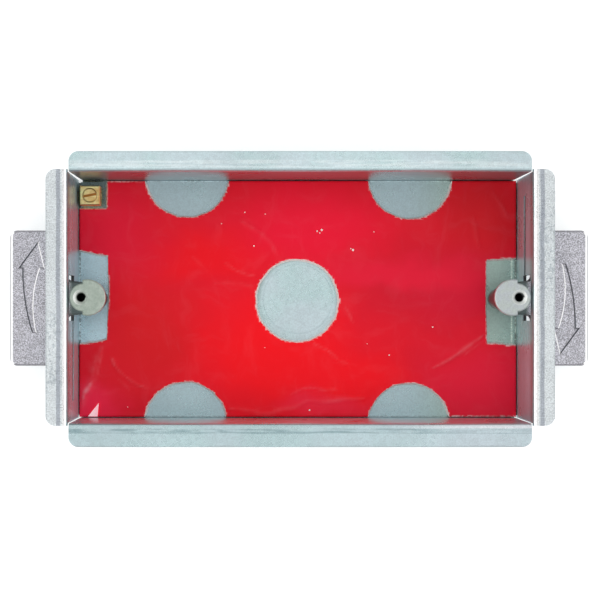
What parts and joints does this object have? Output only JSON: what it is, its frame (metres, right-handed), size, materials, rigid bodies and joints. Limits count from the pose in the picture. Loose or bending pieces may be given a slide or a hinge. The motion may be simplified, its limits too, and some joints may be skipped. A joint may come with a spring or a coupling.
{
  "type": "fire-rated back box",
  "caption": "Folded galvanised steel back box for plasterboard walls, with a red intumescent pad, swing lugs and an earth terminal.",
  "frame": {"origin": "middle of the outside of the base, on the surface the box lies on", "axes": "+X along the two gangs, +Y across them, +Z out of the open front"},
  "size_m": [0.163, 0.0811, 0.035],
  "materials": {
    "galvanised_steel": "galvanised, fine grey mottle",
    "intumescent": "glossy red film on a soft sheet, pale cut edges",
    "zinc_casting": "die-cast zinc alloy, fine grain",
    "plated_steel": "zinc plated",
    "brass": "cut brass bar"
  },
  "bodies": {
    "box": {"box_shell": "galvanised_steel", "intumescent_pad": "intumescent", "earth_terminal_block": "brass"},
    "left_stud": {"left_pivot_stud": "plated_steel"},
    "left_lug": {"left_lug": "zinc_casting"},
    "right_stud": {"right_pivot_stud": "plated_steel"},
    "right_lug": {"right_lug": "zinc_casting"},
    "earth_screw": {"earth_terminal_screw": "brass"}
  },
  "joints": [
    {"name": "left_lug_swing", "type": "hinge", "parent": "box", "child": "left_stud", "pos_m": [-0.0585, 0, 0.0172], "axis": [0, 0, 1], "range_deg": [0, 180]},
    {"name": "left_lug_grip", "type": "slide", "parent": "left_stud", "child": "left_lug", "axis": [0, 0, 1], "range_m": [0, 0.01]},
    {"name": "right_lug_swing", "type": "hinge", "parent": "box", "child": "right_stud", "pos_m": [0.0585, 0, 0.0172], "axis": [0, 0, 1], "range_deg": [0, 180]},
    {"name": "right_lug_grip", "type": "slide", "parent": "right_stud", "child": "right_lug", "axis": [0, 0, 1], "range_m": [0, 0.01]},
    {"name": "earth_screw_travel", "type": "slide", "parent": "box", "child": "earth_screw", "axis": [0, 0, 1], "range_m": [-0.0022, 0.0015]}
  ]
}
